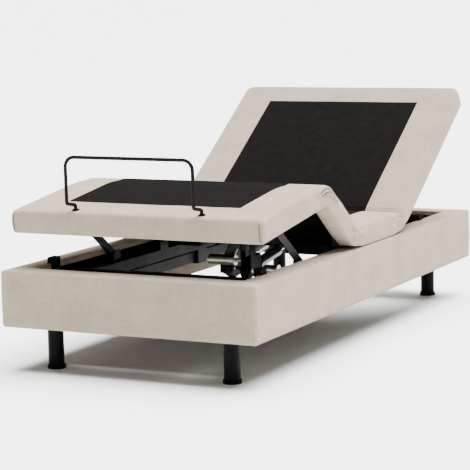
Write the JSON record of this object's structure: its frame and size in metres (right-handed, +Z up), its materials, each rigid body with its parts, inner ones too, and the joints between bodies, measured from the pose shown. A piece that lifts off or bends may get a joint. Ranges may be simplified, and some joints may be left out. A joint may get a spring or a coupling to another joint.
{
  "type": "adjustable bed base",
  "caption": "Upholstered adjustable bed base: rail box on legs, sliding carriage, hinged head, seat, thigh and foot panels, linear drives and a foot retainer bar.",
  "frame": {"origin": "on the floor under the middle of the rail box", "axes": "+X across the bed, +Y from the foot end to the head end, +Z up"},
  "size_m": [0.965, 2.02, 0.8588],
  "materials": {
    "cover_cloth": "light beige woven linen-look cover",
    "dust_cloth": "black non-woven cloth",
    "grip_cloth": "black non-slip non-woven cloth",
    "frame_wood": "black-stained plywood and pine",
    "black_steel": "satin black powder coat",
    "zinc_steel": "zinc plated",
    "black_plastic": "matt black moulded plastic",
    "motor_steel": "plain bright steel",
    "tube_aluminium": "extruded aluminium",
    "bumper_rubber": "dark grey rubber"
  },
  "bodies": {
    "base": {"foot_rail_cover": "cover_cloth", "head_rail_cover": "cover_cloth", "left_rail_cover": "cover_cloth", "right_rail_cover": "cover_cloth", "rail_boards": "frame_wood", "rail_lining": "dust_cloth", "track_frame": "black_steel", "legs": "black_plastic", "leg_glides": "black_plastic", "corner_blocks": "frame_wood", "rest_bumpers": "bumper_rubber"},
    "carriage": {"carriage_frame": "black_steel", "shoe_hangers": "black_steel", "glide_shoes": "black_plastic", "seat_pad": "cover_cloth", "seat_frame": "frame_wood", "seat_grip": "grip_cloth", "seat_hinge_leaves": "zinc_steel", "seat_hinge_pins": "zinc_steel", "leg_drive_ears": "black_steel", "head_drive_ears": "black_steel", "head_drive_rear_pin": "zinc_steel", "foot_link_brackets": "black_steel", "control_box": "black_plastic", "power_supply": "black_plastic"},
    "head": {"head_pad": "cover_cloth", "head_frame": "frame_wood", "head_dust_cloth": "dust_cloth", "head_grip": "grip_cloth", "head_hinge_leaves": "zinc_steel", "head_lever": "black_steel"},
    "thigh": {"thigh_pad": "cover_cloth", "thigh_frame": "frame_wood", "thigh_dust_cloth": "dust_cloth", "thigh_grip": "grip_cloth", "thigh_hinge_leaves": "zinc_steel", "knee_hinge_pins": "zinc_steel", "thigh_lever": "black_steel", "leg_drive_rear_pin": "zinc_steel"},
    "foot": {"foot_pad": "cover_cloth", "foot_frame": "frame_wood", "foot_dust_cloth": "dust_cloth", "foot_grip": "grip_cloth", "foot_hinge_leaves": "zinc_steel", "foot_link_ears": "black_steel", "retainer_sockets": "zinc_steel"},
    "foot_link_left": {"foot_link_left": "black_steel"},
    "foot_link_right": {"foot_link_right": "black_steel"},
    "leg_drive": {"leg_drive_gearbox": "black_plastic", "leg_drive_barrel": "tube_aluminium", "leg_drive_motor": "motor_steel"},
    "leg_rod": {"leg_drive_rod": "motor_steel", "leg_drive_front_pin": "zinc_steel"},
    "head_drive": {"head_drive_gearbox": "black_plastic", "head_drive_barrel": "tube_aluminium", "head_drive_motor": "motor_steel"},
    "head_rod": {"head_drive_rod": "motor_steel", "head_drive_front_pin": "zinc_steel"},
    "retainer_bar": {"retainer_bar": "black_steel"}
  },
  "joints": [
    {"name": "carriage_slide", "type": "slide", "parent": "base", "child": "carriage", "axis": [0, 1, 0], "range_m": [-0.04601, 0.03689]},
    {"name": "head_tilt", "type": "hinge", "parent": "carriage", "child": "head", "pos_m": [0, 0.265, 0.4025], "axis": [1, 0, 0], "range_deg": [-33.3, 26.7]},
    {"name": "thigh_lift", "type": "hinge", "parent": "carriage", "child": "thigh", "pos_m": [0, -0.165, 0.4025], "axis": [-1, 0, 0], "range_deg": [-37.6, 7.4]},
    {"name": "knee_fold", "type": "hinge", "parent": "thigh", "child": "foot", "pos_m": [0, -0.4193, 0.53775], "axis": [1, 0, 0], "range_deg": [-45.01, 8.87]},
    {"name": "foot_link_left_swing", "type": "hinge", "parent": "carriage", "child": "foot_link_left", "pos_m": [-0.377, -0.435, 0.33], "axis": [-1, 0, 0], "range_deg": [-44.23, 8.71]},
    {"name": "foot_link_right_swing", "type": "hinge", "parent": "carriage", "child": "foot_link_right", "pos_m": [0.377, -0.435, 0.33], "axis": [-1, 0, 0], "range_deg": [-44.23, 8.71]},
    {"name": "leg_drive_tilt", "type": "hinge", "parent": "thigh", "child": "leg_drive", "pos_m": [0.1, -0.29498, 0.26797], "axis": [1, 0, 0], "range_deg": [-23.32, 4.6]},
    {"name": "leg_rod_slide", "type": "slide", "parent": "leg_drive", "child": "leg_rod", "axis": [0, 0.9883, 0.1524], "range_m": [-0.08912, 0.01755]},
    {"name": "head_drive_tilt", "type": "hinge", "parent": "carriage", "child": "head_drive", "pos_m": [-0.1, -0.05, 0.232], "axis": [1, 0, 0], "range_deg": [-6.67, 5.35]},
    {"name": "head_rod_slide", "type": "slide", "parent": "head_drive", "child": "head_rod", "axis": [0, 0.9885, 0.1513], "range_m": [-0.0726, 0.05822]},
    {"name": "retainer_lift", "type": "slide", "parent": "foot", "child": "retainer_bar", "axis": [0, -0.1288, 0.9917], "range_m": [0, 0.04]}
  ],
  "couplings": [
    {"joint": "carriage_slide", "follows": "head_tilt", "m_per_rad": 0.079147},
    {"joint": "head_drive_tilt", "follows": "head_tilt", "ratio": 0.2},
    {"joint": "head_rod_slide", "follows": "head_tilt", "m_per_rad": 0.12491},
    {"joint": "knee_fold", "follows": "thigh_lift", "ratio": 1.1968},
    {"joint": "foot_link_left_swing", "follows": "thigh_lift", "ratio": 1.176},
    {"joint": "foot_link_right_swing", "follows": "thigh_lift", "ratio": 1.176},
    {"joint": "leg_drive_tilt", "follows": "thigh_lift", "ratio": 0.62},
    {"joint": "leg_rod_slide", "follows": "thigh_lift", "m_per_rad": 0.13579}
  ]
}
